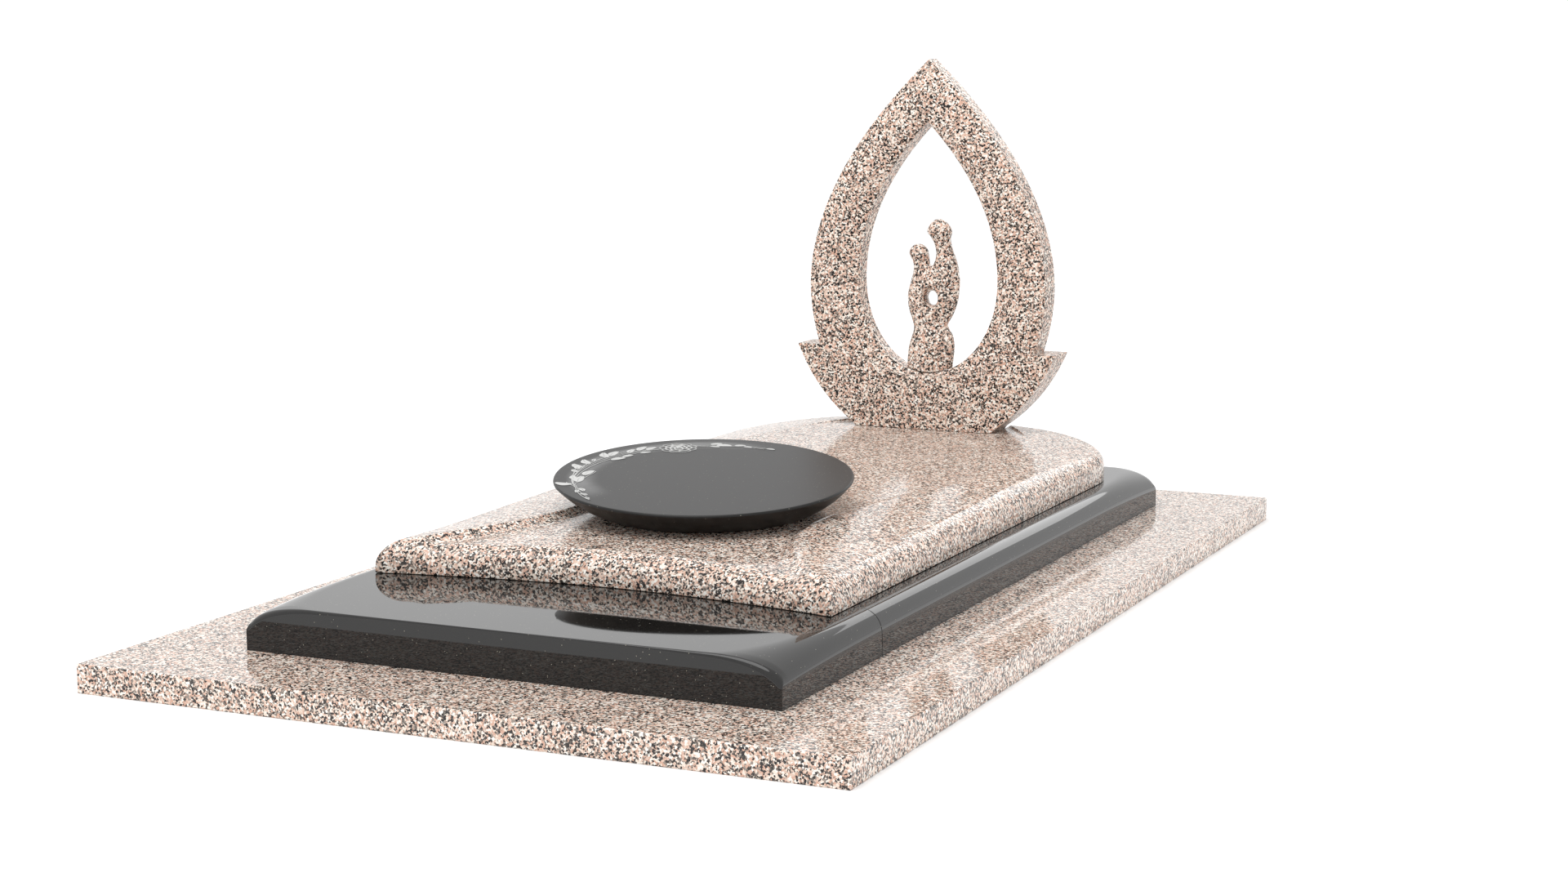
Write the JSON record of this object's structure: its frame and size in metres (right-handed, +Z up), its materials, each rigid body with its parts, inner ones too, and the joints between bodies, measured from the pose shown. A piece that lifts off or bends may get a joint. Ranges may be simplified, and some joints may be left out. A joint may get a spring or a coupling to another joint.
{
  "type": "grave monument",
  "caption": "Granite grave monument: base slab, black plinth, crowned cover slab with a sunken path, tilted disc and a pointed upright ring framing an abstract pair of figures.",
  "frame": {"origin": "centre of the base slab's underside, at ground level", "axes": "+Z up, +Y along the grave towards the upright stone, +X to the right when facing the upright stone from the front"},
  "size_m": [1.4, 2.4, 1.03],
  "materials": {
    "pink_granite_slab": "polished pink granite",
    "black_granite": "mirror polished black granite",
    "pink_granite_cover": "polished pink granite",
    "black_granite_disc": "mirror polished black granite",
    "pink_granite": "polished pink granite",
    "pink_granite_figure": "polished pink granite"
  },
  "bodies": {
    "root": {"base_slab": "pink_granite_slab", "plinth_front": "black_granite", "plinth_back": "black_granite", "plinth_left": "black_granite", "plinth_right": "black_granite", "cover_slab": "pink_granite_cover", "disc": "black_granite_disc", "stele": "pink_granite", "figure": "pink_granite_figure"}
  },
  "joints": []
}
